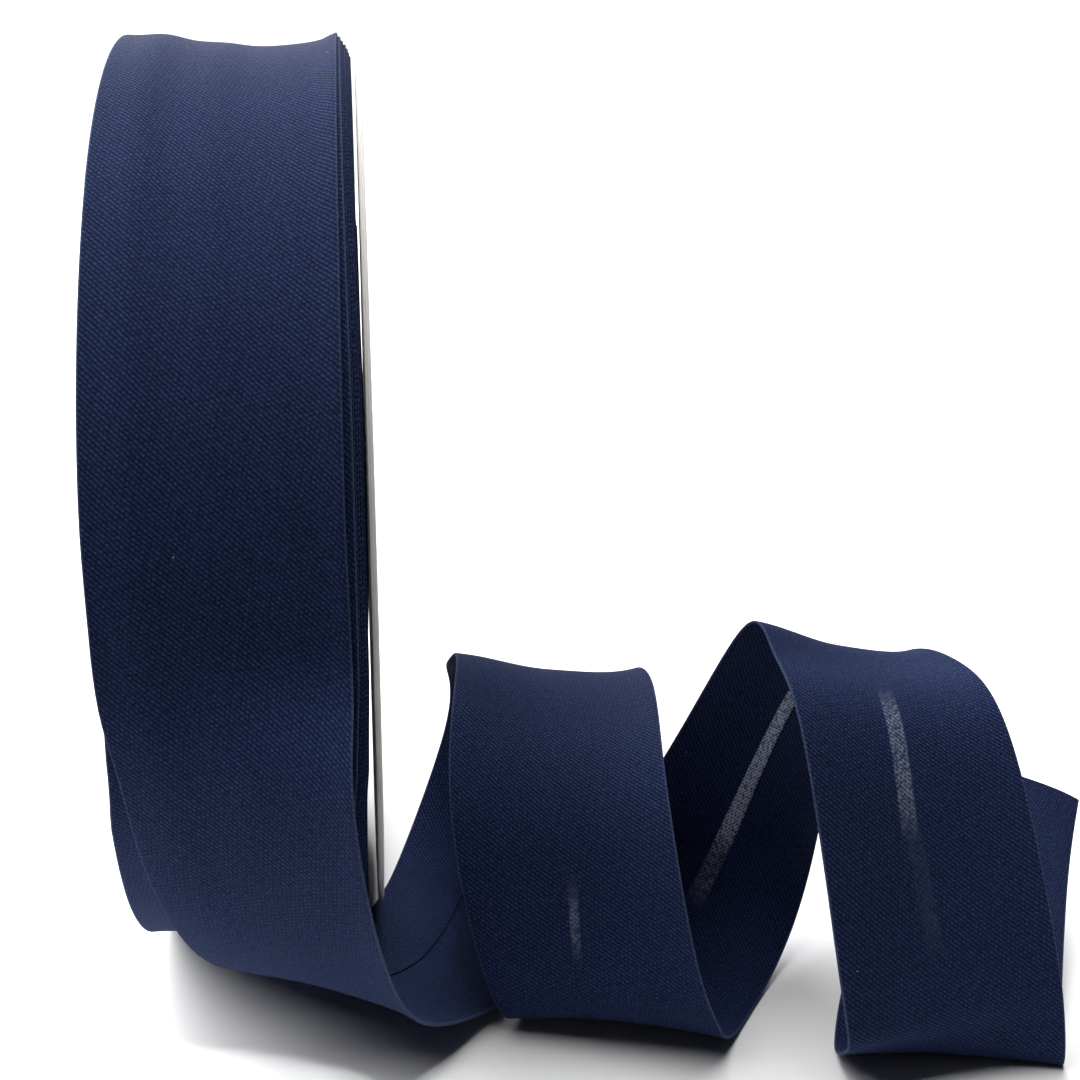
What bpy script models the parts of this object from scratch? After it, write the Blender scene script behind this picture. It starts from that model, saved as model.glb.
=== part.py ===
"""Roll of folded bias tape on a card disc, standing on its edge, with its loose end in curls beside it.

Metres, +Z up. The roll's axis runs along X, the origin is on the surface straight under the roll's
middle, and the loose end leaves the roll's front (-Y) and curls away to the right (+X).
"""
import math

import bmesh
import bpy
import numpy as np

# Tape, folded: a face with its two raw edges turned in behind it, and a gap left between them
TAPE_WIDTH = 0.0300
FLAP_GAP = 0.0030
LAYER = 0.0004
LAYER_GAP = 0.0003
TAPE_THICKNESS = 2 * LAYER + LAYER_GAP
FOLD_WALL = 0.0005
FOLD_ROUND = 0.0004

# Wound roll
ROLL_RADIUS = 0.0684
TURN_PITCH = 0.00055
STEP = 0.0015
STEP_ANGLE = 50.0
FLAT_DEPTH = 0.0003
LEAVE_ANGLE = 5.0
LEFT_SIDE = -0.0146
RIGHT_SIDE = 0.0171
RIM_DISH = 0.0020
RIM_START = -0.93
FLAT_ANGLE = 8.0
DISH_RETURN_ANGLE = 32.0
RING_STEP = 4.0

# Corners of the roll's rim, in metres: x along the roll's axis, depth below the outer radius
CORNER_COLUMNS = ("x", "depth")
LEFT_CORNER = (
    (LEFT_SIDE, 0.0026),
    (-0.0150, 0.0017),
    (-0.0150, 0.0009),
    (-0.0147, 0.0003),
)
RIGHT_CORNER = (
    (0.0151, 0.0009),
    (0.0162, 0.0020),
    (RIGHT_SIDE, 0.0033),
)

# Card disc on the roll's right side
DISC_RADIUS = 0.0650
DISC_THICKNESS = 0.0008
DISC_GAP = 0.00045
DISC_SEGMENTS = 96

# Loose end
PIECE_GAP = 0.0006
CURL_DISH = 0.0014
CURL_EASE_ANGLE = 60.0
FLATTEN_FROM = 45.0
FLATTEN_HEIGHT = 0.0150
TAIL_STATIONS = 104

BOTTOM_ANGLE = 90.0
ROLL_BOTTOM_RADIUS = ROLL_RADIUS - TURN_PITCH * (360.0 - (BOTTOM_ANGLE - LEAVE_ANGLE)) / 360.0
AXIS_HEIGHT = ROLL_BOTTOM_RADIUS - FLAT_DEPTH

# The loose end's middle line, in millimetres, and the lie of the tape across it, in degrees.
# turn counts from the roll's front (0) by way of the bottom (90), the back (180) and the top (270)
# of each curl. swing turns the tape's right edge forward, lift raises it.
TAIL_COLUMNS = ("turn", "x", "y", "z", "swing", "lift")
TAIL_ROWS = (
    (22, 0.6, -69.6, 48.7, 17, 5),
    (40, 2.2, -68.7, 34.2, 24, 4),
    (60, 5.7, -63.6, 18.9, 30, 3),
    (90, 13.6, -51.2, 6.8, 34, -2),
    (120, 26.6, -30.0, 0.9, 26, -2),
    (150, 35.7, -3.2, 2.8, 28, 0),
    (180, 43.0, 5.2, 18.0, 30, -11),
    (215, 44.7, 0.2, 32.0, 14, -9),
    (250, 44.9, -9.2, 39.2, 0, -6),
    (285, 45.0, -24.7, 42.4, 1, -7),
    (315, 42.7, -44.0, 34.9, 8, 3),
    (360, 44.9, -58.3, 13.9, 23, 16),
    (405, 48.8, -56.8, 3.5, 28, 12),
    (450, 54.4, -47.8, 1.8, 33, -4),
    (495, 66.5, -30.8, 8.7, 19, -18),
    (540, 75.2, -26.6, 27.3, -15, -18),
    (585, 84.2, -30.7, 47.4, -23, -19),
    (630, 87.7, -41.0, 49.3, -12, -8),
    (675, 88.9, -56.0, 42.0, -6, -3),
    (720, 90.5, -70.6, 17.0, -6, 5),
    (765, 92.1, -70.2, 6.0, 0, 4),
    (810, 96.2, -58.3, 0.9, 24, -3),
    (845, 108.0, -34.0, 11.2, 21, -11),
    (880, 116.9, -18.4, 21.1, 20, -14),
)


def clear_scene():
    for item in list(bpy.data.objects):
        bpy.data.objects.remove(item, do_unlink=True)


def material(name, color, roughness):
    mat = bpy.data.materials.new(name)
    mat.use_nodes = True
    shader = mat.node_tree.nodes["Principled BSDF"]
    shader.inputs["Base Color"].default_value = (*color, 1.0)
    shader.inputs["Roughness"].default_value = roughness
    shader.inputs["Metallic"].default_value = 0.0
    return mat


def add_object(name, bm, mat, group):
    bmesh.ops.recalc_face_normals(bm, faces=bm.faces)
    mesh = bpy.data.meshes.new(name)
    bm.to_mesh(mesh)
    bm.free()
    mesh.materials.append(mat)
    mesh.shade_smooth()
    mesh.set_sharp_from_angle(angle=math.radians(35.0))
    item = bpy.data.objects.new(name, mesh)
    group.objects.link(item)
    return item


def dish_depth(across):
    """Share of the dish at a place across the tape, from -1 at its left edge to 1 at its right.

    The left edge curls up softly and the right one stands up sharply, as the wound tape does.
    """
    if across < 0:
        return 0.5 + 0.5 * math.cos(math.pi * across)
    return 1.0 - across ** 4


def rim_profile(dish):
    """The roll's rim as (x, depth below the outer radius), from the left side to the right one.

    The right side steps back where the outer turns lie a little to the left of the inner ones.
    """
    middle = []
    for across in np.linspace(RIM_START, 1.0, 11):
        middle.append((TAPE_WIDTH / 2 * across, dish * dish_depth(across)))
    return [*LEFT_CORNER, *middle, *RIGHT_CORNER]


def smooth_share(share):
    """A share from 0 to 1 that starts and ends softly."""
    return share * share * (3.0 - 2.0 * share)


def flatten_share(turn):
    """How much of the rim's dish is left at a turn angle: none where the roll's weight presses it."""
    off = abs((turn - BOTTOM_ANGLE + 180.0) % 360.0 - 180.0)
    return smooth_share(min(max((off - FLAT_ANGLE) / DISH_RETURN_ANGLE, 0.0), 1.0))


def wound_radius(wound):
    """The roll's outer radius, which falls by one turn of tape each time round.

    Under the loose end, over STEP_ANGLE, it falls by the rest of the step, so that the end has room.
    """
    share = min(max((wound - 360.0 + STEP_ANGLE) / STEP_ANGLE, 0.0), 1.0)
    return ROLL_RADIUS - TURN_PITCH * wound / 360.0 - (STEP - TURN_PITCH) * smooth_share(share)


def roll_ring(wound):
    """One section of the roll. wound runs from 0 where the loose end leaves, back over the top."""
    turn = LEAVE_ANGLE - wound
    angle = math.radians(turn)
    ring = []
    for x, depth in rim_profile(RIM_DISH * flatten_share(turn)):
        radius = wound_radius(wound) - depth
        height = max(AXIS_HEIGHT - radius * math.sin(angle), 0.0)
        ring.append((x, -radius * math.cos(angle), height))
    return ring


def build_roll(group, mat):
    """The wound turns as one solid: a spiral whose outermost turn ends in a step."""
    bm = bmesh.new()
    count = round(360.0 / RING_STEP)
    rings = []
    for index in range(count + 1):
        rings.append([bm.verts.new(point) for point in roll_ring(index * RING_STEP)])
    pairs = [(rings[i], rings[i + 1]) for i in range(count)] + [(rings[count], rings[0])]
    for first, second in pairs:
        for j in range(len(first) - 1):
            bm.faces.new((first[j], first[j + 1], second[j + 1], second[j]))
    for side, x in ((0, LEFT_SIDE), (-1, RIGHT_SIDE)):
        hub = bm.verts.new((x, 0.0, AXIS_HEIGHT))
        for i in range(1, count):
            bm.faces.new((hub, rings[i][side], rings[i + 1][side]))
        bm.faces.new((hub, rings[count][side], rings[1][side]))
        bm.faces.new((rings[count][side], rings[0][side], rings[1][side]))
    return add_object("tape_roll", bm, mat, group)


def build_disc(group, mat):
    """The card disc, upright beside the wound turns and a little smaller than them."""
    bm = bmesh.new()
    bmesh.ops.create_cone(
        bm,
        cap_ends=True,
        segments=DISC_SEGMENTS,
        radius1=DISC_RADIUS,
        radius2=DISC_RADIUS,
        depth=DISC_THICKNESS,
    )
    item = add_object("card_disc", bm, mat, group)
    item.rotation_euler = (0.0, math.radians(90.0), 0.0)
    item.location = (RIGHT_SIDE + DISC_GAP + DISC_THICKNESS / 2, 0.0, AXIS_HEIGHT)
    return item


def smooth_curve(knots, values, places):
    """A natural cubic curve through values at knots, read at places."""
    knots = np.asarray(knots, float)
    values = np.asarray(values, float)
    count = len(knots)
    step = np.diff(knots)
    slope = np.diff(values) / step
    system = np.eye(count)
    right = np.zeros(count)
    for i in range(1, count - 1):
        system[i, i - 1:i + 2] = (step[i - 1], 2 * (step[i - 1] + step[i]), step[i])
        right[i] = 6 * (slope[i] - slope[i - 1])
    bend = np.linalg.solve(system, right)
    i = np.clip(np.searchsorted(knots, places) - 1, 0, count - 2)
    before = places - knots[i]
    after = knots[i + 1] - places
    cubic = (bend[i] * after ** 3 + bend[i + 1] * before ** 3) / (6 * step[i])
    linear_left = (values[i] / step[i] - bend[i] * step[i] / 6) * after
    linear_right = (values[i + 1] / step[i] - bend[i + 1] * step[i] / 6) * before
    return cubic + linear_left + linear_right


def tail_rows():
    """The table's rows after a few that lie on the roll, so that the curve leaves it smoothly."""
    rows = []
    radius = (ROLL_RADIUS - TAPE_THICKNESS / 2) * 1000.0
    for turn in (-45.0, -30.0, -15.0, 0.0, LEAVE_ANGLE):
        angle = math.radians(turn)
        y = -radius * math.cos(angle)
        z = AXIS_HEIGHT * 1000.0 - radius * math.sin(angle)
        rows.append((turn, 0.0, y, z, 0.0, 0.0))
    rows.extend(TAIL_ROWS)
    return np.array(rows, float)


def tail_frames(turns):
    """The tape's middle point, its direction across and its outward normal at each turn angle."""
    table = tail_rows()
    columns = {}
    for index, name in enumerate(TAIL_COLUMNS[1:], start=1):
        columns[name] = smooth_curve(table[:, 0], table[:, index], turns)
    middle = np.stack([columns["x"], columns["y"], columns["z"]], axis=1) / 1000.0
    swing = np.radians(-columns["swing"])
    lift = np.radians(columns["lift"])
    across = np.stack([np.cos(lift) * np.cos(swing), np.cos(lift) * np.sin(swing), np.sin(lift)], axis=1)
    along = np.gradient(middle, turns, axis=0)
    along /= np.linalg.norm(along, axis=1)[:, None]
    outward = np.cross(along, across)
    outward /= np.linalg.norm(outward, axis=1)[:, None]
    return middle, across, outward


def tape_section():
    """The folded tape's closed outline as (across, outward): the face, and a flap behind each half."""
    half = TAPE_WIDTH / 2
    outside = TAPE_THICKNESS / 2
    slit = LAYER_GAP / 2
    flap_edge = FLAP_GAP / 2
    slit_end = half - FOLD_WALL
    right_half = [(half, slit), (half, -slit)]
    for u in np.linspace(half - FOLD_ROUND, flap_edge, 4):
        right_half.append((u, -outside))
    for u in np.linspace(flap_edge, slit_end, 4):
        right_half.append((u, -slit))
    for u in np.linspace(slit_end, flap_edge, 4):
        right_half.append((u, slit))
    left_half = [(-u, v) for u, v in reversed(right_half)]
    face = [(u, outside) for u in np.linspace(-half + FOLD_ROUND, half - FOLD_ROUND, 9)]
    return right_half + left_half + face


def curl_section(place, across, outward, dish):
    """The tape's outline at one place along the curl, lifted where it would pass the surface."""
    ring = []
    for u, v in tape_section():
        depth = dish * dish_depth(2 * u / TAPE_WIDTH)
        ring.append(place + across * u + outward * (v - depth))
    ring = np.array(ring)
    ring[:, 2] += max(-ring[:, 2].min(), 0.0)
    return ring


def build_tail(group, mat):
    """The loose end: the folded tape swept down off the roll and through its curls."""
    start = LEAVE_ANGLE + math.degrees(PIECE_GAP / ROLL_RADIUS)
    turns = np.linspace(start, TAIL_ROWS[-1][0], TAIL_STATIONS)
    middle, across, outward = tail_frames(turns)
    bm = bmesh.new()
    rings = []
    for i, turn in enumerate(turns):
        free = min((turn - start) / CURL_EASE_ANGLE, 1.0)
        dish = RIM_DISH + (CURL_DISH - RIM_DISH) * free
        if turn > FLATTEN_FROM:
            dish *= min(middle[i][2] / FLATTEN_HEIGHT, 1.0)
        ring = curl_section(middle[i], across[i], outward[i], dish)
        rings.append([bm.verts.new(point) for point in ring])
    for first, second in zip(rings, rings[1:]):
        for j in range(len(first)):
            k = (j + 1) % len(first)
            bm.faces.new((first[j], first[k], second[k], second[j]))
    bm.faces.new(rings[0])
    bm.faces.new(rings[-1])
    return add_object("tape_tail", bm, mat, group)


def main():
    clear_scene()
    group = bpy.data.collections.new("bias_tape_roll")
    bpy.context.scene.collection.children.link(group)
    navy_cloth = material("navy_cotton_tape", (0.028, 0.045, 0.135), 0.85)
    white_card = material("white_card", (0.82, 0.81, 0.79), 0.70)
    build_roll(group, navy_cloth)
    build_disc(group, white_card)
    build_tail(group, navy_cloth)


main()
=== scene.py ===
"""Roll of navy folded bias tape on a card disc, standing on its edge, with its loose end in curls beside it.

Metres, +Z up. The roll's axis runs along X, and the loose end leaves the roll's front (-Y) and curls
away to the right (+X).
"""
import math

import bpy
import numpy as np
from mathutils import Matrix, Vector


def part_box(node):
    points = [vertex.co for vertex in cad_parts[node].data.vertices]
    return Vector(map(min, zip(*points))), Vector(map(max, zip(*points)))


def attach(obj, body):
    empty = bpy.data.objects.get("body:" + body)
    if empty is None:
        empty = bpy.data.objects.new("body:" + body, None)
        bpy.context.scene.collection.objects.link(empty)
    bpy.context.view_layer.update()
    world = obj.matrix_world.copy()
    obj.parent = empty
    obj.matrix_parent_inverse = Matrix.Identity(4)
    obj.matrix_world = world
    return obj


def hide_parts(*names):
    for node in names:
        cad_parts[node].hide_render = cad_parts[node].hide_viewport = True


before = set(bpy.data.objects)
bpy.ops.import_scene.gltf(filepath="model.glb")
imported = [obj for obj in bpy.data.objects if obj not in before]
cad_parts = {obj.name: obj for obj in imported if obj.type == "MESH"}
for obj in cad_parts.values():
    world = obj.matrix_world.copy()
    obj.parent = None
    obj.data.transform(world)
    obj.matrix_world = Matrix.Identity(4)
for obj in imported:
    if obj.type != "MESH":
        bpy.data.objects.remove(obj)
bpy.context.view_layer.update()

MM = 0.001

# Folded tape: one layer of cotton, its two raw edges turned in behind it
TAPE_WIDTH = 0.0300
FLAP = 0.0135
FLAT_WIDTH = TAPE_WIDTH + 2 * FLAP
LAYER = 0.00020
LAYER_GAP = 0.00006
TAPE_THICKNESS = 2 * LAYER + LAYER_GAP

# Wound roll
ROLL_RADIUS = 0.0684
TURN_PITCH = 0.00055
LEAVE_ANGLE = 5.0
BOTTOM_ANGLE = 90.0
RIM_DISH = 0.0015
FLAT_ANGLE = 8.0
DISH_RETURN_ANGLE = 32.0
OUTER_TURN = 545.0
LOOSE_TURNS = 5
EYE_RADIUS = 0.0040
CHORD_DEPTH = 0.00005

# Depth of the pressed-in face across the tape, as a share of the dish, from its left edge to its right one
DISH_ROWS = (
    (-1.00, 0.05),
    (-0.84, 0.06),
    (-0.70, -0.05),
    (-0.60, 0.00),
    (-0.42, 0.41),
    (-0.28, 0.60),
    (-0.14, 0.66),
    (0.00, 0.75),
    (0.14, 0.93),
    (0.28, 1.00),
    (0.41, 0.95),
    (0.55, 0.82),
    (0.69, 0.65),
    (0.83, 0.37),
    (0.90, 0.10),
    (0.97, -0.28),
    (1.00, -0.35),
)

# The tape's lean to the right (mm) by how far it is wound in from the loose end (degrees)
LEAN_ROWS = (
    (0, 0.00),
    (15, -0.30),
    (45, -0.15),
    (95, 0.00),
    (300, 0.00),
    (330, 0.15),
    (362, 0.72),
    (455, 0.50),
    (715, 1.04),
    (815, 0.98),
    (1080, 1.28),
    (1440, 1.52),
    (1800, 1.76),
    (2160, 1.98),
    (2520, 2.14),
    (3200, 2.12),
    (4700, 1.70),
    (7000, 1.95),
    (11000, 1.50),
    (16200, 1.90),
    (18400, 2.43),
    (26000, 2.38),
    (43000, 2.42),
)

# How far the whole side of the roll stands to the right (mm), by turn angle from the front (degrees)
SIDE_ROWS = (
    (-180, 0.00),
    (-90, -0.05),
    (-45, -0.05),
    (-15, 0.17),
    (8, 0.14),
    (20, -0.15),
    (28, -0.62),
    (45, -0.85),
    (90, -0.85),
    (140, -0.30),
    (180, 0.00),
)
SIDE_FROM = 200.0
SIDE_FULL = 300.0

# The loose end's middle line, in millimetres, and the lie of the tape across it, in degrees
TAIL_COLUMNS = ("turn", "x", "y", "z", "swing", "lift")
TAIL_ROWS = (
    (22, 0.6, -69.6, 48.7, 17, 5),
    (40, 2.2, -68.7, 34.2, 24, 4),
    (60, 5.7, -63.6, 18.9, 30, 3),
    (90, 13.6, -51.2, 6.8, 34, -2),
    (120, 26.6, -30.0, 0.5, 26, -2),
    (150, 35.7, -3.2, 2.8, 28, 0),
    (180, 43.0, 5.2, 18.0, 30, -11),
    (215, 44.7, 0.2, 32.0, 14, -9),
    (250, 44.9, -9.2, 39.2, 0, -6),
    (285, 45.0, -24.7, 42.4, 1, -7),
    (315, 42.7, -44.0, 34.9, 8, 3),
    (360, 44.9, -58.3, 13.9, 23, 16),
    (405, 48.8, -56.8, 3.7, 28, 10),
    (450, 54.4, -47.8, 1.6, 33, -4),
    (495, 66.5, -30.8, 8.7, 19, -18),
    (540, 75.2, -26.6, 27.3, -15, -18),
    (585, 83.8, -30.7, 47.7, -23, -19),
    (630, 87.7, -41.0, 49.1, -12, -8),
    (675, 88.9, -56.0, 42.0, -6, -3),
    (720, 90.5, -70.6, 17.0, -6, 5),
    (765, 92.1, -70.2, 6.0, 0, 4),
    (810, 96.2, -58.3, 0.5, 24, -3),
    (845, 108.0, -34.0, 11.2, 21, -11),
    (880, 116.9, -18.4, 21.1, 20, -14),
)
CURL_DISH = 0.0014
CURL_EASE_ANGLE = 60.0
FLATTEN_FROM = 45.0
FLATTEN_HEIGHT = 0.0150

# Card disc: rings that its flat faces are cut into, as shares of its radius, and its small faults
RING_SHARES = ((1.0, 0.97), (0.97, 0.70), (0.70, 0.35))
EDGE_CRUSH = 0.00012
CARD_WARP = 0.00008

# Cloth, in metres and sRGB. Poplin: about 30 fine threads to the centimetre over 19 thicker ones, as ribs,
# which wander a little. Lint is drawn as large as it needs to show.
RIB_PITCH = 0.00052
THREAD_PITCH = 0.00034
THREAD_HEIGHT = 0.00009
WEFT_DIP = 0.23
WANDER = 0.00030
WANDER_SIZE = 0.0022
MOTTLE_SIZE = 0.012
LINT_SPACING = 0.0055
LINT_RADIUS = 0.00009
LINT_SHARE = 0.45
# Painted shade in the weave's pits and a painted highlight on its thread crowns, mixed by the threads' relief
NAVY_PIT_SHADE = "0C142E"
NAVY_CROWN_HIGHLIGHT = "273458"
# Colour of the painted highlight along the loose end's folded edges
FOLD_HIGHLIGHT_COLOR = "7A87A8"
SHEEN = "8E9AB8"
LINT = "C9CDD6"
# Colour of the painted light that comes through the single layer between the turned-in edges
PAINTED_SHEER_LIGHT = "B4BDD2"
# Strength and half width of the painted highlight along the folded edges
FOLD_HIGHLIGHT = 0.16
FOLD_HIGHLIGHT_REACH = 0.00020

# Painted light where light comes through the single layer between the turned-in edges: turn angles of the loose
# end, half the opening's width and its places across at both ends in millimetres, and its strength
SHEER_ROWS = (
    (343, 356, 0.65, -0.2, -1.3, 0.34),
    (494, 530, 1.40, 0.0, 0.0, 0.45),
    (516, 566, 1.50, 0.0, 0.0, 2.00),
    (659, 691, 1.15, -0.4, -1.9, 0.46),
    (691, 716, 1.15, -1.6, -1.2, 0.05),
)

SHEER_EASE = 0.00018
SHEER_FADE = 0.0035

# Card, in metres and sRGB
CARD_FACE = "EFECE6"
CARD_EDGE = "F3EEEA"
PLY_THICKNESS = 0.00026
FIBRE_SIZE = 0.0006
CLOUD_SIZE = 0.018
CUT_START = 0.00016
CUT_END = 0.00002
BOARD_GLOW = 0.0016

# White paper under it all, which ends just in front, where the studio is dark
PAPER = "F4F4F4"
FLOOR_SIZE = 12.0
FLOOR_FRONT = -0.12

# Studio: a wide soft light overhead from the back and left, a narrow gridded one on the roll from the front,
# a dim surround, and a white backdrop that only the camera sees
OVERHEAD_TILT = 29.0
OVERHEAD_LEAN = 25.0
OVERHEAD_SPREAD = 90.0
OVERHEAD_STRENGTH = 8.9
STRIP_PLACE = (-0.03, -0.20, 0.52)
STRIP_TARGET = (-0.03, -0.03, 0.08)
STRIP_SIZE = (0.10, 0.20)
STRIP_SPREAD = 8.0
STRIP_POWER = 0.044
SURROUND = 0.02
BACKDROP = 1.3

# Camera, from the outline of the roll and the edges of the curls, at 1080 by 1080
CAMERA_PLACE = (0.0168, -0.2426, 0.1169)
CAMERA_PITCH = 13.634
CAMERA_YAW = 6.769
CAMERA_LENS = 51.08

disc_low, disc_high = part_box("card_disc")
AXIS_HEIGHT = (disc_low.z + disc_high.z) / 2
ROLL_BOTTOM_RADIUS = ROLL_RADIUS - TURN_PITCH * (360.0 - (BOTTOM_ANGLE - LEAVE_ANGLE)) / 360.0


def to_linear(hex_color):
    """An sRGB hex colour as linear red, green, blue and an alpha of 1."""
    parts = []
    for i in (0, 2, 4):
        value = int(hex_color[i:i + 2], 16) / 255.0
        parts.append(value / 12.92 if value <= 0.04045 else ((value + 0.055) / 1.055) ** 2.4)
    return (*parts, 1.0)


def add_node(tree, kind, links=None, settings=None, values=None):
    """A node of a kind in tree, with its settings, its input values, and links into its inputs."""
    node = tree.nodes.new(kind)
    for name, value in (settings or {}).items():
        setattr(node, name, value)
    for name, value in (values or {}).items():
        node.inputs[name].default_value = value
    for name, source in (links or {}).items():
        tree.links.new(source, node.inputs[name])
    return node


def new_material(name):
    mat = bpy.data.materials.new(name)
    mat.use_nodes = True
    tree = mat.node_tree
    return mat, tree, tree.nodes["Principled BSDF"]


def smooth_share(share):
    share = np.clip(share, 0.0, 1.0)
    return share * share * (3.0 - 2.0 * share)


def eased(rows, places):
    """Values between rows of (place, value), eased in and out at each row."""
    table = np.array(rows, float)
    i = np.clip(np.searchsorted(table[:, 0], places, side="right") - 1, 0, len(table) - 2)
    span = table[i + 1, 0] - table[i, 0]
    share = smooth_share((places - table[i, 0]) / span)
    return table[i, 1] + (table[i + 1, 1] - table[i, 1]) * share


def smooth_curve(knots, values, places):
    """A natural cubic curve through values at knots, read at places."""
    count = len(knots)
    step = np.diff(knots)
    slope = np.diff(values) / step
    system = np.eye(count)
    right = np.zeros(count)
    for i in range(1, count - 1):
        system[i, i - 1:i + 2] = (step[i - 1], 2 * (step[i - 1] + step[i]), step[i])
        right[i] = 6 * (slope[i] - slope[i - 1])
    bend = np.linalg.solve(system, right)
    i = np.clip(np.searchsorted(knots, places) - 1, 0, count - 2)
    before = places - knots[i]
    after = knots[i + 1] - places
    cubic = (bend[i] * after ** 3 + bend[i + 1] * before ** 3) / (6 * step[i])
    linear_left = (values[i] / step[i] - bend[i] * step[i] / 6) * after
    linear_right = (values[i + 1] / step[i] - bend[i + 1] * step[i] / 6) * before
    return cubic + linear_left + linear_right


def dish_depth(across):
    """Share of the dish across the tape, from -1 at its left edge to 1 at its right one."""
    table = np.array(DISH_ROWS)
    return smooth_curve(table[:, 0], table[:, 1], np.clip(across, -1.0, 1.0))


def curl_depth(across):
    """Share of the dish across the free tape, steepest near its right edge."""
    return np.where(across < 0, 0.5 + 0.5 * np.cos(np.pi * across), 1.0 - across ** 4)


def flatten_share(turn):
    """How much of the rim's dish is left at a turn angle: none where the roll's weight presses it."""
    off = abs((turn - BOTTOM_ANGLE + 180.0) % 360.0 - 180.0)
    return smooth_share((off - FLAT_ANGLE) / DISH_RETURN_ANGLE)


def lean(wound):
    """The lean of the wound tape to the right, with a slow waver of its own."""
    turn = (LEAVE_ANGLE - wound + 180.0) % 360.0 - 180.0
    side = eased(SIDE_ROWS, turn) * smooth_share((wound - SIDE_FROM) / (SIDE_FULL - SIDE_FROM))
    waver = 0.03 * np.sin(np.radians(wound) * 0.77) + 0.03 * np.sin(np.radians(wound) * 0.293 + 1.0)
    deep = smooth_share((wound - 1500.0) / 1500.0)
    fine = 0.08 * np.sin(np.radians(wound) * 1.37 + 0.4) + 0.05 * np.sin(np.radians(wound) * 2.61)
    return (eased(LEAN_ROWS, wound) + side + waver * smooth_share(wound / 400.0) + fine * deep) * MM


def wound_point(wound, depth):
    """y and z of the wound tape at a wound angle, depth metres under its outer face."""
    angle = np.radians(LEAVE_ANGLE - wound)
    radius = ROLL_RADIUS - TURN_PITCH * wound / 360.0 - depth
    height = AXIS_HEIGHT - radius * np.sin(angle)
    return -radius * np.cos(angle), np.maximum(height, ROLL_BOTTOM_RADIUS - radius)


def tape_outline():
    """The folded tape's outline as rows of (across, outward, place across the flat cloth)."""
    half = TAPE_WIDTH / 2
    bend = (LAYER + LAYER_GAP) / 2
    centre = []
    for across in np.linspace(FLAP - half, -half + bend, 11):
        centre.append((across, -bend, 0.0, -1.0))
    for angle in np.linspace(-60.0, 60.0, 5):
        a = math.radians(angle)
        centre.append((-half + bend - bend * math.cos(a), bend * math.sin(a), -math.cos(a), math.sin(a)))
    for across in np.linspace(-half + bend, half - bend, 31):
        centre.append((across, bend, 0.0, 1.0))
    for angle in np.linspace(60.0, -60.0, 5):
        a = math.radians(angle)
        centre.append((half - bend + bend * math.cos(a), bend * math.sin(a), math.cos(a), math.sin(a)))
    for across in np.linspace(half - bend, half - FLAP, 11):
        centre.append((across, -bend, 0.0, -1.0))
    centre = np.array(centre)
    steps = np.linalg.norm(np.diff(centre[:, :2], axis=0), axis=1)
    flat = np.concatenate([[0.0], np.cumsum(steps)])
    flat *= FLAT_WIDTH / flat[-1]
    outer = centre[:, :2] + centre[:, 2:] * LAYER / 2
    inner = centre[:, :2] - centre[:, 2:] * LAYER / 2
    points = np.concatenate([outer, inner[::-1]])
    places = np.concatenate([flat, flat[::-1]])
    return np.column_stack([points, places])


def mesh_object(name, points, faces, face_uvs):
    """A mesh object from points and faces, with the flat cloth's metres as its UV map."""
    mesh = bpy.data.meshes.new(name)
    mesh.from_pydata(points, [], faces)
    layer = mesh.uv_layers.new(name="cloth")
    layer.data.foreach_set("uv", np.array(face_uvs, np.float32).ravel())
    mesh.validate()
    mesh.update()
    item = bpy.data.objects.new(name, mesh)
    bpy.context.scene.collection.objects.link(item)
    return item


def sweep(name, rings, places, alongs):
    """A closed tube through rings of points, with one face across each end."""
    count = len(places)
    points = np.concatenate(rings)
    faces = []
    uvs = []
    for i in range(len(rings) - 1):
        for j in range(count):
            k = (j + 1) % count
            faces.append((i * count + j, i * count + k, (i + 1) * count + k, (i + 1) * count + j))
            uvs.append((places[j], alongs[i]))
            uvs.append((places[k], alongs[i]))
            uvs.append((places[k], alongs[i + 1]))
            uvs.append((places[j], alongs[i + 1]))
    last = (len(rings) - 1) * count
    faces.append(tuple(reversed(range(count))))
    uvs.extend([(places[j], alongs[0]) for j in reversed(range(count))])
    faces.append(tuple(range(last, last + count)))
    uvs.extend([(places[j], alongs[-1]) for j in range(count)])
    return mesh_object(name, points.tolist(), faces, uvs)


def wound_rings(outline, wounds):
    """Rings of an outline along the wound tape."""
    rings = []
    for wound in wounds:
        dish = RIM_DISH * flatten_share(LEAVE_ANGLE - wound)
        depth = TAPE_THICKNESS / 2 - outline[:, 1] + dish * dish_depth(outline[:, 0] / (TAPE_WIDTH / 2))
        y, z = wound_point(wound, depth)
        rings.append(np.column_stack([outline[:, 0] + lean(wound), y, z]))
    return rings


def wound_length(wound):
    """Length of tape from the loose end's start back to a wound angle."""
    turns = wound / 360.0
    return 2.0 * math.pi * (ROLL_RADIUS * turns - TURN_PITCH * turns * turns / 2.0)


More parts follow.
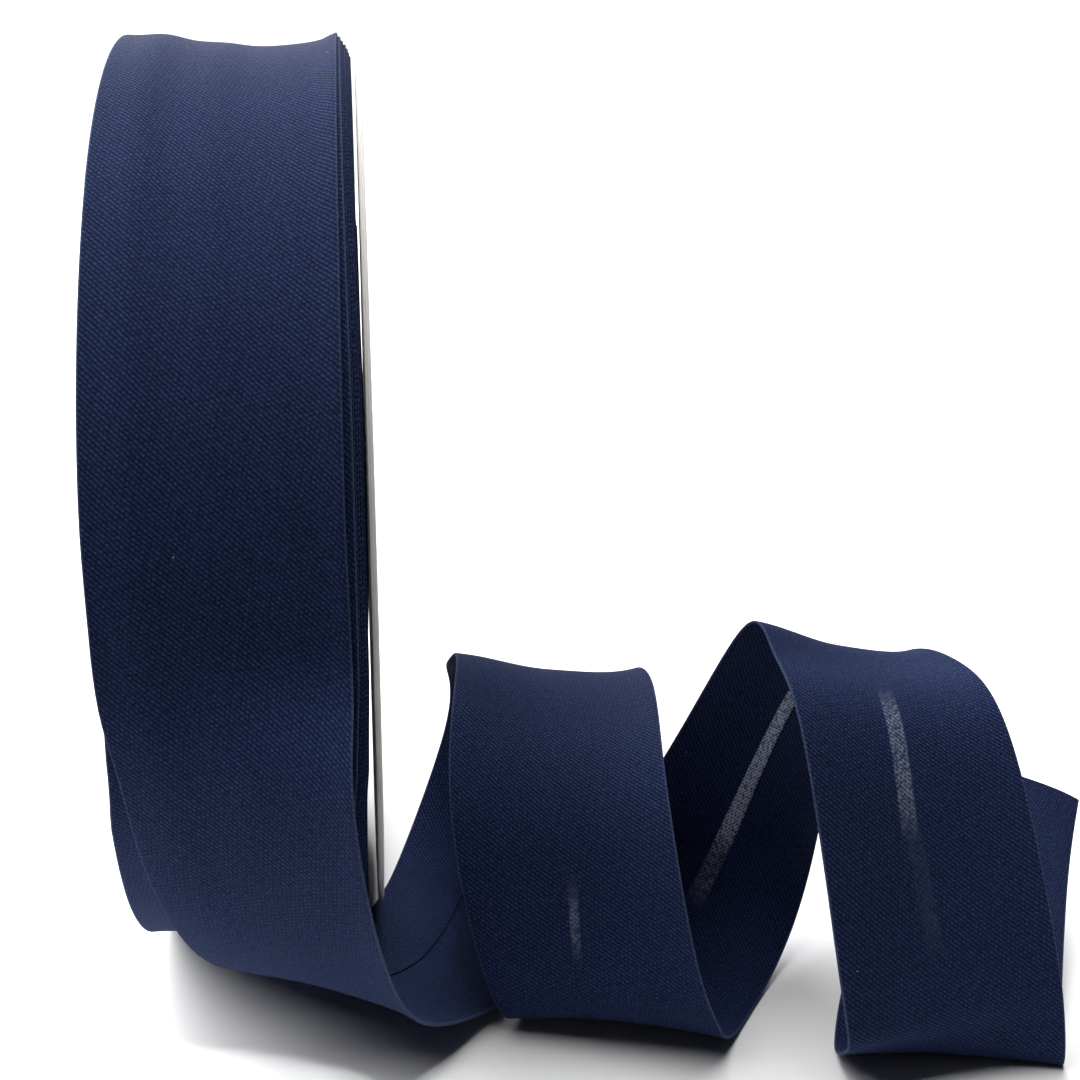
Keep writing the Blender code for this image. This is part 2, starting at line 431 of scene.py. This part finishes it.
def tail_frames(turns):
    """The loose end's middle point, its direction across and its outward normal at each turn angle."""
    rows = []
    radius = (ROLL_RADIUS - TAPE_THICKNESS / 2) / MM
    for turn in (-45.0, -30.0, -15.0, 0.0, LEAVE_ANGLE):
        angle = math.radians(turn)
        height = AXIS_HEIGHT / MM - radius * math.sin(angle)
        x = float(lean(np.array(LEAVE_ANGLE - turn))) / MM
        rows.append((turn, x, -radius * math.cos(angle), height, 0.0, 0.0))
    rows.extend(TAIL_ROWS)
    table = np.array(rows, float)
    columns = {}
    for index, name in enumerate(TAIL_COLUMNS[1:], start=1):
        columns[name] = smooth_curve(table[:, 0], table[:, index], turns)
    middle = np.stack([columns["x"], columns["y"], columns["z"]], axis=1) * MM
    swing = np.radians(-columns["swing"])
    lift = np.radians(columns["lift"])
    across = np.stack([np.cos(lift) * np.cos(swing), np.cos(lift) * np.sin(swing), np.sin(lift)], axis=1)
    along = np.gradient(middle, turns, axis=0)
    along /= np.linalg.norm(along, axis=1)[:, None]
    outward = np.cross(along, across)
    outward /= np.linalg.norm(outward, axis=1)[:, None]
    return middle, across, outward


def build_loose_end():
    """The outermost turn and the loose end, one continuous folded tape."""
    outline = tape_outline()
    wounds = np.arange(OUTER_TURN, 0.0, -2.5)
    rings = wound_rings(outline, wounds)
    turns = np.linspace(LEAVE_ANGLE, TAIL_ROWS[-1][0], 360)
    middle, across, outward = tail_frames(turns)
    wound_shape = RIM_DISH * dish_depth(outline[:, 0] / (TAPE_WIDTH / 2))
    free_shape = CURL_DISH * curl_depth(outline[:, 0] / (TAPE_WIDTH / 2))
    for i, turn in enumerate(turns):
        free = min((turn - LEAVE_ANGLE) / CURL_EASE_ANGLE, 1.0)
        dish = wound_shape + (free_shape - wound_shape) * free
        if turn > FLATTEN_FROM:
            dish = dish * min(middle[i][2] / FLATTEN_HEIGHT, 1.0)
        rise = outline[:, 1] - dish
        ring = middle[i] + across[i] * outline[:, :1] + outward[i] * rise[:, None]
        ring[:, 2] += max(-ring[:, 2].min(), 0.0)
        rings.append(ring)
    tail_steps = np.linalg.norm(np.diff(middle, axis=0), axis=1)
    alongs = np.concatenate([[-wound_length(w) for w in wounds], [0.0], np.cumsum(tail_steps)])
    item = sweep("loose_end", rings, outline[:, 2], alongs)
    turn_alongs = (turns, alongs[len(wounds):])
    return item, float(alongs[-1] - alongs[0]), turn_alongs


def fold_points(side, angles):
    """Rounded edge of a wound turn on one side, as (across, outward, place across the flat cloth)."""
    half = TAPE_WIDTH / 2
    bulge = TAPE_THICKNESS / 2
    rows = []
    for angle in angles:
        a = math.radians(angle)
        place = FLAP + half + side * half
        rows.append((side * (half - bulge + bulge * math.cos(a)), bulge * math.sin(a), place))
    return rows


def face_points(outward, count):
    """Points across one face of a wound turn, from left to right, between its edges."""
    half = TAPE_WIDTH / 2
    rows = []
    for across in np.linspace(-half, half, count + 2)[1:-1]:
        rows.append((across, outward, FLAP + half + across))
    return rows


def build_wound_turns():
    """The turns under the outermost one, each with its folded edges: a few loose ones, then the rest."""
    bulge = TAPE_THICKNESS / 2
    fine = (-90.0, -45.0, 0.0, 45.0, 90.0)
    outline = np.array(fold_points(-1, fine) + face_points(bulge, 9)
                       + fold_points(1, fine[::-1]) + face_points(-bulge, 9)[::-1])
    packed_start = OUTER_TURN + 360.0 * LOOSE_TURNS
    wounds = np.arange(packed_start - 1.0, OUTER_TURN + 0.5, -3.0)
    loose = sweep(
        "loose_turns", wound_rings(outline, wounds), outline[:, 2], [-wound_length(w) for w in wounds],
    )
    plain = np.array(fold_points(-1, fine) + face_points(bulge, 3)
                     + fold_points(1, (90.0, -90.0)) + face_points(-bulge, 3)[::-1])
    wounds = [packed_start]
    while True:
        radius = ROLL_RADIUS - TURN_PITCH * wounds[-1] / 360.0
        if radius < EYE_RADIUS:
            break
        wounds.append(wounds[-1] + math.degrees(math.sqrt(8.0 * CHORD_DEPTH / radius)))
    wounds = np.array(wounds[::-1])
    packed = sweep(
        "packed_turns", wound_rings(plain, wounds), plain[:, 2], [-wound_length(w) for w in wounds],
    )
    return loose, packed


def deselect_all():
    if bpy.context.object and bpy.context.object.mode != "OBJECT":
        bpy.ops.object.mode_set(mode="OBJECT")
    bpy.ops.object.select_all(action="DESELECT")


def build_card_disc():
    """The card disc: die-cut board whose edges are a little crushed, with a slight warp."""
    deselect_all()
    radius = (disc_high.z - disc_low.z) / 2
    middle = ((disc_low.x + disc_high.x) / 2, 0.0, AXIS_HEIGHT)
    bpy.ops.mesh.primitive_cylinder_add(
        vertices=192,
        radius=radius,
        depth=disc_high.x - disc_low.x,
        location=middle,
        rotation=(0.0, math.radians(90.0), 0.0),
    )
    item = bpy.context.object
    item.name = "white_card_disc"
    bpy.ops.object.transform_apply(location=True, rotation=True, scale=True)
    bpy.ops.object.mode_set(mode="EDIT")
    bpy.ops.mesh.select_mode(type="FACE")
    for share in RING_SHARES:
        select_caps(item)
        bpy.ops.mesh.inset(thickness=radius * (share[0] - share[1]), depth=0.0)
    select_rim(item, radius)
    bpy.ops.mesh.bevel(offset=EDGE_CRUSH, segments=2, affect="EDGES")
    bpy.ops.object.mode_set(mode="OBJECT")
    for vertex in item.data.vertices:
        y = vertex.co.y
        z = vertex.co.z - AXIS_HEIGHT
        share = math.hypot(y, z) / radius
        vertex.co.x += CARD_WARP * share * share * math.sin(2.0 * math.atan2(z, y) + 0.6)
    bpy.ops.object.shade_smooth_by_angle(angle=math.radians(30.0))
    return item


def select_caps(item):
    """Selects the middle face of each flat side of the disc."""
    bpy.ops.mesh.select_all(action="DESELECT")
    bpy.ops.object.mode_set(mode="OBJECT")
    for face in item.data.polygons:
        face.select = len(face.vertices) > 4
    bpy.ops.object.mode_set(mode="EDIT")


def select_rim(item, radius):
    """Selects the two sharp circles of the disc's cut edge."""
    bpy.ops.mesh.select_all(action="DESELECT")
    bpy.ops.mesh.select_mode(type="EDGE")
    bpy.ops.object.mode_set(mode="OBJECT")
    points = item.data.vertices
    for edge in item.data.edges:
        ends = [points[i].co for i in edge.vertices]
        rims = [abs(math.hypot(p.y, p.z - AXIS_HEIGHT) - radius) < 1e-5 for p in ends]
        edge.select = all(rims) and abs(ends[0].x - ends[1].x) < 1e-5
    bpy.ops.object.mode_set(mode="EDIT")


def weave_nodes(tree, cloth):
    """Plain weave on the bias: the cloth's place in threads, the threads' relief and each one's own tone."""
    drift = add_node(tree, "ShaderNodeTexNoise", {"Vector": cloth}, values={
        "Scale": 1.0 / WANDER_SIZE, "Detail": 3.0, "Roughness": 0.6,
    })
    wander = add_node(tree, "ShaderNodeVectorMath", {0: drift.outputs["Color"]}, {
        "operation": "MULTIPLY_ADD",
    }, {
        1: (WANDER, WANDER, 0.0), 2: (-WANDER / 2, -WANDER / 2, 0.0),
    })
    moved = add_node(tree, "ShaderNodeVectorMath", {0: cloth, 1: wander.outputs[0]}, {"operation": "ADD"})
    bias = add_node(tree, "ShaderNodeMapping", {"Vector": moved.outputs[0]}, values={
        "Rotation": (0.0, 0.0, math.radians(45.0)),
    })
    turned = add_node(tree, "ShaderNodeMapping", {"Vector": bias.outputs[0]}, values={
        "Scale": (1.0 / RIB_PITCH, 1.0 / THREAD_PITCH, 1.0),
    })
    split = add_node(tree, "ShaderNodeSeparateXYZ", {"Vector": turned.outputs[0]})
    ridges = []
    for axis in ("X", "Y"):
        angle = add_node(tree, "ShaderNodeMath", {0: split.outputs[axis]}, {
            "operation": "MULTIPLY",
        }, {1: math.pi})
        wave = add_node(tree, "ShaderNodeMath", {0: angle.outputs[0]}, {"operation": "SINE"})
        size = add_node(tree, "ShaderNodeMath", {0: wave.outputs[0]}, {"operation": "ABSOLUTE"})
        ridges.append((wave.outputs[0], size.outputs[0]))
    (warp_wave, warp), (weft_wave, weft) = ridges
    product = add_node(tree, "ShaderNodeMath", {0: warp_wave, 1: weft_wave}, {"operation": "MULTIPLY"})
    on_top = add_node(tree, "ShaderNodeMath", {0: product.outputs[0]}, {
        "operation": "GREATER_THAN",
    }, {1: 0.0})
    dip = add_node(tree, "ShaderNodeMath", {0: product.outputs[0]}, {"operation": "MULTIPLY_ADD"}, {
        1: WEFT_DIP, 2: 1.0 - WEFT_DIP,
    })
    relief = add_node(tree, "ShaderNodeMath", {0: warp, 1: dip.outputs[0]}, {"operation": "MULTIPLY"})
    tones = []
    for scale in ((1.1, 0.45, 1.0), (0.35, 1.1, 1.0)):
        drawn = add_node(tree, "ShaderNodeMapping", {"Vector": turned.outputs[0]}, values={"Scale": scale})
        slub = add_node(tree, "ShaderNodeTexNoise", {"Vector": drawn.outputs[0]}, values={
            "Scale": 1.0, "Detail": 2.0, "Roughness": 0.6,
        })
        tones.append(slub.outputs["Fac"])
    tone = add_node(tree, "ShaderNodeMix", {"Factor": on_top.outputs[0], "A": tones[1], "B": tones[0]})
    return turned.outputs[0], relief.outputs[0], tone.outputs["Result"]


def window_nodes(tree, value, low, high, ease):
    """1 where value lies between low and high, eased to 0 outside."""
    up = add_node(tree, "ShaderNodeMapRange", {"Value": value}, {"interpolation_type": "SMOOTHSTEP"}, {
        "From Min": low - ease, "From Max": low + ease,
    })
    down = add_node(tree, "ShaderNodeMapRange", {"Value": value}, {"interpolation_type": "SMOOTHSTEP"}, {
        "From Min": high - ease, "From Max": high + ease, "To Min": 1.0, "To Max": 0.0,
    })
    both = add_node(tree, "ShaderNodeMath", {0: up.outputs[0], 1: down.outputs[0]}, {"operation": "MULTIPLY"})
    return both.outputs[0]


def scaled_color(tree, color, factor):
    """A colour multiplied by a factor, which may be more than 1."""
    node = add_node(tree, "ShaderNodeVectorMath", {0: color, "Scale": factor}, {"operation": "SCALE"})
    return node.outputs[0]


def navy_poplin(name, turn_alongs=None):
    """Piece-dyed cotton poplin, cut on the bias and pressed: matt, with a fine slanted weave and soft sheen,
    its pits painted darker as shade and its crowns lighter as a highlight.
    """
    mat, tree, shader = new_material(name)
    uv = add_node(tree, "ShaderNodeUVMap", settings={"uv_map": "cloth"})
    cloth = uv.outputs[0]
    turned, relief, tone = weave_nodes(tree, cloth)
    split = add_node(tree, "ShaderNodeSeparateXYZ", {"Vector": cloth})
    height = add_node(tree, "ShaderNodeMapRange", {"Value": relief}, values={
        "From Min": 0.12, "From Max": 0.95,
    })
    # Painted shade and highlight of the weave: the darker navy in the pits, the lighter one on the crowns
    weave = add_node(tree, "ShaderNodeMix", {"Factor": height.outputs[0]}, {"data_type": "RGBA"})
    weave.inputs["A"].default_value = to_linear(NAVY_PIT_SHADE)
    weave.inputs["B"].default_value = to_linear(NAVY_CROWN_HIGHLIGHT)
    slub = add_node(tree, "ShaderNodeMapRange", {"Value": tone}, values={
        "From Min": 0.32, "From Max": 0.68, "To Min": 0.55, "To Max": 1.45,
    })
    wide = add_node(tree, "ShaderNodeTexNoise", {"Vector": cloth}, values={
        "Scale": 1.0 / MOTTLE_SIZE, "Detail": 3.0, "Roughness": 0.55,
    })
    mottle = add_node(tree, "ShaderNodeMapRange", {"Value": wide.outputs["Fac"]}, values={
        "From Min": 0.3, "From Max": 0.7, "To Min": 0.94, "To Max": 1.06,
    })
    shade = add_node(tree, "ShaderNodeMath", {0: slub.outputs[0], 1: mottle.outputs[0]}, {
        "operation": "MULTIPLY",
    })
    color = scaled_color(tree, weave.outputs["Result"], shade.outputs[0])
    # On the loose end only: a painted highlight along its folds, and painted light through its single layer
    if turn_alongs:
        color = paint_fold_highlights(tree, color, split)
        color = paint_sheer_light(tree, color, split, turned, relief, turn_alongs)
    dots = add_node(tree, "ShaderNodeTexVoronoi", {"Vector": cloth}, values={
        "Scale": 1.0 / LINT_SPACING, "Randomness": 1.0,
    })
    lint = add_node(tree, "ShaderNodeMath", {0: dots.outputs["Distance"]}, {"operation": "LESS_THAN"}, {
        1: LINT_RADIUS / LINT_SPACING,
    })
    faint = add_node(tree, "ShaderNodeMath", {0: lint.outputs[0]}, {"operation": "MULTIPLY"}, {1: LINT_SHARE})
    final = add_node(tree, "ShaderNodeMix", {"Factor": faint.outputs[0], "A": color}, {"data_type": "RGBA"})
    final.inputs["B"].default_value = to_linear(LINT)
    tree.links.new(final.outputs["Result"], shader.inputs["Base Color"])
    bump = add_node(tree, "ShaderNodeBump", {"Height": relief}, values={
        "Strength": 0.7, "Distance": THREAD_HEIGHT,
    })
    tree.links.new(bump.outputs[0], shader.inputs["Normal"])
    shader.inputs["Roughness"].default_value = 0.88
    shader.inputs["Specular IOR Level"].default_value = 0.08
    shader.inputs["Sheen Weight"].default_value = 0.03
    shader.inputs["Sheen Roughness"].default_value = 0.45
    shader.inputs["Sheen Tint"].default_value = to_linear(SHEEN)
    return mat


def paint_fold_highlights(tree, color, split):
    """The loose end's two folded edges, painted a little lighter and greyer as a highlight where they catch the
    light.
    """
    for place in (FLAP, FLAP + TAPE_WIDTH):
        on_fold = window_nodes(tree, split.outputs["X"], place - FOLD_HIGHLIGHT_REACH, place + FOLD_HIGHLIGHT_REACH, FOLD_HIGHLIGHT_REACH / 2)
        highlight = add_node(tree, "ShaderNodeMath", {0: on_fold}, {"operation": "MULTIPLY"}, {1: FOLD_HIGHLIGHT})
        edge = add_node(tree, "ShaderNodeMix", {"Factor": highlight.outputs[0], "A": color}, {"data_type": "RGBA"})
        edge.inputs["B"].default_value = to_linear(FOLD_HIGHLIGHT_COLOR)
        color = edge.outputs["Result"]
    return color


def paint_sheer_light(tree, color, split, turned, relief, turn_alongs):
    """The single layer between the turned-in edges, where light passing between the threads is painted in as a
    lighter colour.
    """
    drawn = add_node(tree, "ShaderNodeMapping", {"Vector": turned}, values={"Scale": (0.45, 0.80, 1.0)})
    marks = add_node(tree, "ShaderNodeTexNoise", {"Vector": drawn.outputs[0]}, values={
        "Scale": 1.0, "Detail": 3.0, "Roughness": 0.7,
    })
    grain = add_node(tree, "ShaderNodeMapRange", {"Value": marks.outputs["Fac"]}, values={
        "From Min": 0.40, "From Max": 0.60, "To Min": 0.15, "To Max": 1.0,
    })
    pits = add_node(tree, "ShaderNodeMapRange", {"Value": relief}, values={
        "From Min": 0.25, "From Max": 0.85, "To Min": 1.0, "To Max": 0.10,
    })
    open_weave = add_node(tree, "ShaderNodeMath", {0: grain.outputs[0], 1: pits.outputs[0]}, {
        "operation": "MULTIPLY",
    })
    for first, last, half_width, shift_first, shift_last, strength in SHEER_ROWS:
        start, end = [float(v) for v in np.interp((first, last), *turn_alongs)]
        shift = add_node(tree, "ShaderNodeMapRange", {"Value": split.outputs["Y"]}, {"clamp": False}, {
            "From Min": start, "From Max": end,
            "To Min": FLAT_WIDTH / 2 + shift_first * MM, "To Max": FLAT_WIDTH / 2 + shift_last * MM,
        })
        off = add_node(tree, "ShaderNodeMath", {0: split.outputs["X"], 1: shift.outputs[0]}, {
            "operation": "SUBTRACT",
        })
        band = window_nodes(tree, off.outputs[0], -half_width * MM, half_width * MM, SHEER_EASE)
        stretch = window_nodes(tree, split.outputs["Y"], start, end, SHEER_FADE)
        both = add_node(tree, "ShaderNodeMath", {0: band, 1: stretch}, {"operation": "MULTIPLY"})
        thin = add_node(tree, "ShaderNodeMath", {0: both.outputs[0], 1: open_weave.outputs[0]}, {
            "operation": "MULTIPLY",
        })
        share = add_node(tree, "ShaderNodeMath", {0: thin.outputs[0]}, {
            "operation": "MULTIPLY", "use_clamp": True,
        }, {1: strength})
        lit = add_node(tree, "ShaderNodeMix", {"Factor": share.outputs[0], "A": color}, {"data_type": "RGBA"})
        lit.inputs["B"].default_value = to_linear(PAINTED_SHEER_LIGHT)
        color = lit.outputs["Result"]
    return color


def bleached_board(name):
    """Bleached card, pressed and die-cut: matt, faintly fibrous and a little translucent, its edge in plies."""
    mat, tree, shader = new_material(name)
    place = add_node(tree, "ShaderNodeTexCoord").outputs["Object"]
    fibre_map = add_node(tree, "ShaderNodeMapping", {"Vector": place}, values={"Scale": (1.0, 1.0, 0.35)})
    fibre = add_node(tree, "ShaderNodeTexNoise", {"Vector": fibre_map.outputs[0]}, values={
        "Scale": 1.0 / FIBRE_SIZE, "Detail": 4.0, "Roughness": 0.65,
    })
    cloud = add_node(tree, "ShaderNodeTexNoise", {"Vector": place}, values={
        "Scale": 1.0 / CLOUD_SIZE, "Detail": 3.0, "Roughness": 0.5,
    })
    both = add_node(tree, "ShaderNodeMath", {0: fibre.outputs["Fac"], 1: cloud.outputs["Fac"]}, {
        "operation": "ADD",
    })
    tone = add_node(tree, "ShaderNodeMapRange", {"Value": both.outputs[0]}, values={
        "From Min": 0.7, "From Max": 1.3, "To Min": 0.93, "To Max": 1.03,
    })
    split = add_node(tree, "ShaderNodeSeparateXYZ", {"Vector": place})
    up = add_node(tree, "ShaderNodeMath", {0: split.outputs["Z"]}, {
        "operation": "SUBTRACT",
    }, {1: AXIS_HEIGHT})
    spread = add_node(tree, "ShaderNodeCombineXYZ", {"Y": split.outputs["Y"], "Z": up.outputs[0]})
    size = add_node(tree, "ShaderNodeVectorMath", {0: spread.outputs[0]}, {"operation": "LENGTH"})
    radius = (disc_high.z - disc_low.z) / 2
    cut = add_node(tree, "ShaderNodeMapRange", {"Value": size.outputs["Value"]}, values={
        "From Min": radius - CUT_START, "From Max": radius - CUT_END,
    })
    plies = add_node(tree, "ShaderNodeMath", {0: split.outputs["X"]}, {"operation": "MULTIPLY"}, {
        1: 2.0 * math.pi / PLY_THICKNESS,
    })
    ply = add_node(tree, "ShaderNodeMath", {0: plies.outputs[0]}, {"operation": "SINE"})
    ply_tone = add_node(tree, "ShaderNodeMapRange", {"Value": ply.outputs[0]}, values={
        "From Min": -1.0, "From Max": 1.0, "To Min": 0.80, "To Max": 1.0,
    })
    face = add_node(tree, "ShaderNodeRGB")
    face.outputs[0].default_value = to_linear(CARD_FACE)
    edge = add_node(tree, "ShaderNodeRGB")
    edge.outputs[0].default_value = to_linear(CARD_EDGE)
    face_color = scaled_color(tree, face.outputs[0], tone.outputs[0])
    edge_color = scaled_color(tree, edge.outputs[0], ply_tone.outputs[0])
    color = add_node(tree, "ShaderNodeMix", {"Factor": cut.outputs[0], "A": face_color, "B": edge_color}, {
        "data_type": "RGBA",
    })
    tree.links.new(color.outputs["Result"], shader.inputs["Base Color"])
    bump = add_node(tree, "ShaderNodeBump", {"Height": both.outputs[0]}, values={
        "Strength": 0.35, "Distance": 0.00006,
    })
    tree.links.new(bump.outputs[0], shader.inputs["Normal"])
    shader.inputs["Roughness"].default_value = 0.72
    shader.inputs["Specular IOR Level"].default_value = 0.35
    shader.inputs["Subsurface Weight"].default_value = 0.6
    shader.inputs["Subsurface Radius"].default_value = (1.0, 0.97, 0.94)
    shader.inputs["Subsurface Scale"].default_value = BOARD_GLOW
    return mat


def paper_sweep(name):
    """White background paper: matt and even."""
    mat, tree, shader = new_material(name)
    shader.inputs["Base Color"].default_value = to_linear(PAPER)
    shader.inputs["Roughness"].default_value = 0.9
    shader.inputs["Specular IOR Level"].default_value = 0.1
    return mat


def build_floor():
    """The white paper that the roll stands on."""
    deselect_all()
    bpy.ops.mesh.primitive_plane_add(size=FLOOR_SIZE, location=(0.0, FLOOR_FRONT + FLOOR_SIZE / 2, 0.0))
    item = bpy.context.object
    item.name = "paper_sweep"
    item.data.materials.append(paper_sweep("white_background_paper"))


def light_scene():
    """The overhead light, the strip light on the roll, the dim surround and the white backdrop."""
    deselect_all()
    bpy.ops.object.light_add(type="SUN", location=(0.0, 0.0, 1.0))
    lamp = bpy.context.object
    lamp.name = "overhead_softbox"
    lamp.data.energy = OVERHEAD_STRENGTH
    lamp.data.angle = math.radians(OVERHEAD_SPREAD)
    lamp.rotation_euler = (math.radians(-OVERHEAD_TILT), math.radians(-OVERHEAD_LEAN), 0.0)
    deselect_all()
    bpy.ops.object.light_add(type="AREA", location=STRIP_PLACE)
    strip = bpy.context.object
    strip.name = "gridded_strip_light"
    strip.data.shape = "RECTANGLE"
    strip.data.size, strip.data.size_y = STRIP_SIZE
    strip.data.spread = math.radians(STRIP_SPREAD)
    strip.data.energy = STRIP_POWER
    strip.visible_camera = False
    x, y, z = [target - place for target, place in zip(STRIP_TARGET, STRIP_PLACE)]
    strip.rotation_euler = (math.atan2(math.hypot(x, y), -z), 0.0, math.atan2(-x, y))
    world = bpy.data.worlds.new("white_surround")
    bpy.context.scene.world = world
    world.use_nodes = True
    tree = world.node_tree
    surround = tree.nodes["Background"]
    surround.inputs["Color"].default_value = to_linear("FFFFFF")
    path = add_node(tree, "ShaderNodeLightPath")
    strength = add_node(tree, "ShaderNodeMapRange", {"Value": path.outputs["Is Camera Ray"]}, values={
        "To Min": SURROUND, "To Max": BACKDROP,
    })
    tree.links.new(strength.outputs[0], surround.inputs["Strength"])


def place_camera():
    """The camera, where the roll's outline and the curls' edges put it in the photograph."""
    data = bpy.data.cameras.new("camera")
    camera = bpy.data.objects.new("camera", data)
    bpy.context.scene.collection.objects.link(camera)
    data.sensor_width = 36.0
    data.lens = CAMERA_LENS
    camera.location = CAMERA_PLACE
    camera.rotation_euler = (math.radians(90.0 - CAMERA_PITCH), 0.0, math.radians(-CAMERA_YAW))
    data.clip_start = 0.01
    data.clip_end = 50.0
    bpy.context.scene.camera = camera


def main():
    place_camera()
    loose_end, loose_length, turn_alongs = build_loose_end()
    loose_turns, packed_turns = build_wound_turns()
    card = build_card_disc()
    loose_end.data.materials.append(navy_poplin("navy_poplin_single", turn_alongs))
    wound_cloth = navy_poplin("navy_poplin_wound")
    for item in (loose_turns, packed_turns):
        item.data.materials.append(wound_cloth)
    card.data.materials.append(bleached_board("bleached_board"))
    for item in (loose_end, loose_turns, packed_turns):
        deselect_all()
        bpy.context.view_layer.objects.active = item
        item.select_set(True)
        bpy.ops.object.mode_set(mode="EDIT")
        bpy.ops.mesh.select_all(action="SELECT")
        bpy.ops.mesh.normals_make_consistent(inside=False)
        bpy.ops.object.mode_set(mode="OBJECT")
        bpy.ops.object.shade_smooth_by_angle(angle=math.radians(50.0))
    for item in (loose_end, loose_turns, packed_turns, card):
        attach(item, "root")
    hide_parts("tape_tail")
    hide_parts("tape_roll")
    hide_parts("tape_roll")
    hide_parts("card_disc")
    build_floor()
    light_scene()
    scene = bpy.context.scene
    scene.view_settings.view_transform = "Standard"
    scene.view_settings.look = "None"


main()
